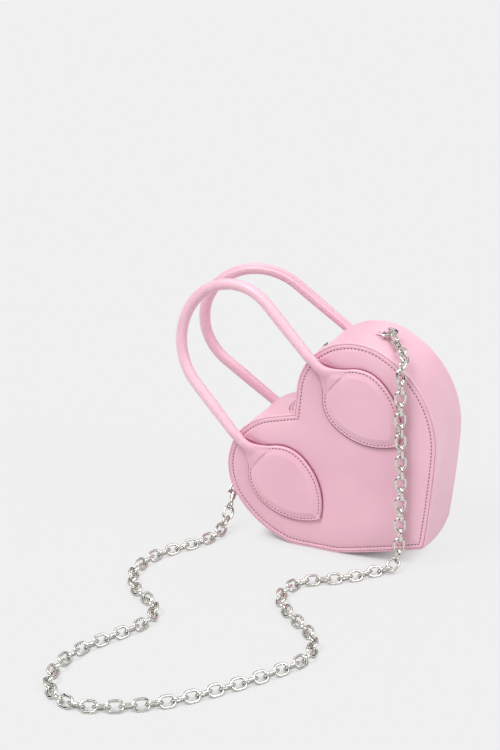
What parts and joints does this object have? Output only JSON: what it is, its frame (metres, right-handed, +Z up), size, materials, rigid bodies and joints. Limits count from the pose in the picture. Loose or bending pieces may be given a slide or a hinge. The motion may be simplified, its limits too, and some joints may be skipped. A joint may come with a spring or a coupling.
{
  "type": "heart-shaped purse",
  "caption": "Heart-shaped pink leather purse resting on one flank, with two tube handles on leaf tabs, a short zip in the cleft and a metal chain strap laid out in front.",
  "frame": {"origin": "centre of the flat on the left flank that the bag stands on, at floor level", "axes": "+Z up, -Y out of the front panel towards the viewer, +X to the right, where the heart's tip points"},
  "size_m": [0.2497, 0.3976, 0.2385],
  "materials": {
    "pink_leather": "satin",
    "gusset_leather": "satin",
    "lining_cloth": "woven",
    "board": "bonded leather board",
    "foam": "felted padding",
    "zip_cloth": "woven tape",
    "nickel": "polished nickel plate"
  },
  "bodies": {
    "bag": {"front_panel": "pink_leather", "back_panel": "pink_leather", "gusset": "gusset_leather", "gusset_board": "board", "front_foam": "foam", "back_foam": "foam", "front_board": "board", "back_board": "board", "lining": "lining_cloth", "cleft_patch": "gusset_leather", "zip_tapes": "zip_cloth", "zip_teeth": "nickel", "zip_stops": "nickel", "front_left_tab": "pink_leather", "front_right_tab": "pink_leather", "back_left_tab": "pink_leather", "back_right_tab": "pink_leather", "front_tab_pads": "foam", "back_tab_pads": "foam", "right_ring_loop": "gusset_leather", "left_ring_loop": "gusset_leather", "right_hook_eye": "nickel", "left_hook_eye": "nickel", "strap_drop": "nickel", "strap_near": "nickel", "strap_turn": "nickel", "strap_far": "nickel", "strap_rise": "nickel"},
    "front_handle": {"front_handle_cover": "pink_leather", "front_handle_core": "foam"},
    "back_handle": {"back_handle_cover": "pink_leather", "back_handle_core": "foam"},
    "slider": {"zip_slider": "nickel"},
    "puller": {"zip_puller": "nickel"},
    "ring_right": {"right_ring": "nickel"},
    "ring_left": {"left_ring": "nickel"},
    "hook_right": {"right_hook": "nickel", "right_gate_pin": "nickel"},
    "hook_left": {"left_hook": "nickel", "left_gate_pin": "nickel"},
    "gate_right": {"right_gate": "nickel"},
    "gate_left": {"left_gate": "nickel"}
  },
  "joints": [
    {"name": "front_handle_swing", "type": "hinge", "parent": "bag", "child": "front_handle", "pos_m": [-0.04049, -0.0415, 0.14136], "axis": [0.6494, 0, 0.7604], "range_deg": [-4, 95]},
    {"name": "back_handle_swing", "type": "hinge", "parent": "bag", "child": "back_handle", "pos_m": [-0.04049, 0.0415, 0.14136], "axis": [-0.6494, 0, -0.7604], "range_deg": [-4, 95]},
    {"name": "zip_slider_travel", "type": "hinge", "parent": "bag", "child": "slider", "pos_m": [0.03407, 0, 0.14397], "axis": [0, -1, 0], "range_deg": [0, 31]},
    {"name": "zip_puller_flip", "type": "hinge", "parent": "slider", "child": "puller", "pos_m": [-0.00663, 0, 0.17964], "axis": [0, 1, 0], "range_deg": [-4, 165]},
    {"name": "right_ring_pivot", "type": "hinge", "parent": "bag", "child": "ring_right", "pos_m": [0.04874, 0, 0.19874], "axis": [0, -1, 0], "range_deg": [-5, 5]},
    {"name": "left_ring_pivot", "type": "hinge", "parent": "bag", "child": "ring_left", "pos_m": [-0.0832, 0, 0.04426], "axis": [0, -1, 0], "range_deg": [-3, 6]},
    {"name": "right_hook_swivel", "type": "hinge", "parent": "bag", "child": "hook_right", "pos_m": [0.05505, -0.00669, 0.19907], "axis": [0.6677, -0.6915, -0.2756], "range_deg": [-20, 20]},
    {"name": "left_hook_swivel", "type": "hinge", "parent": "bag", "child": "hook_left", "pos_m": [-0.08748, -0.0073, 0.04066], "axis": [0, -0.6428, -0.766], "range_deg": [-20, 20]},
    {"name": "right_gate_swing", "type": "hinge", "parent": "hook_right", "child": "gate_right", "pos_m": [0.06438, -0.01658, 0.19933], "axis": [-0.7264, -0.6863, -0.0381], "range_deg": [0, 20], "stiffness_Nm_per_rad": 0.02, "springref_deg": -11.46},
    {"name": "left_gate_swing", "type": "hinge", "parent": "hook_left", "child": "gate_left", "pos_m": [-0.09066, -0.01752, 0.03227], "axis": [-0.6081, 0.6081, -0.5103], "range_deg": [0, 20], "stiffness_Nm_per_rad": 0.02, "springref_deg": -11.46}
  ]
}
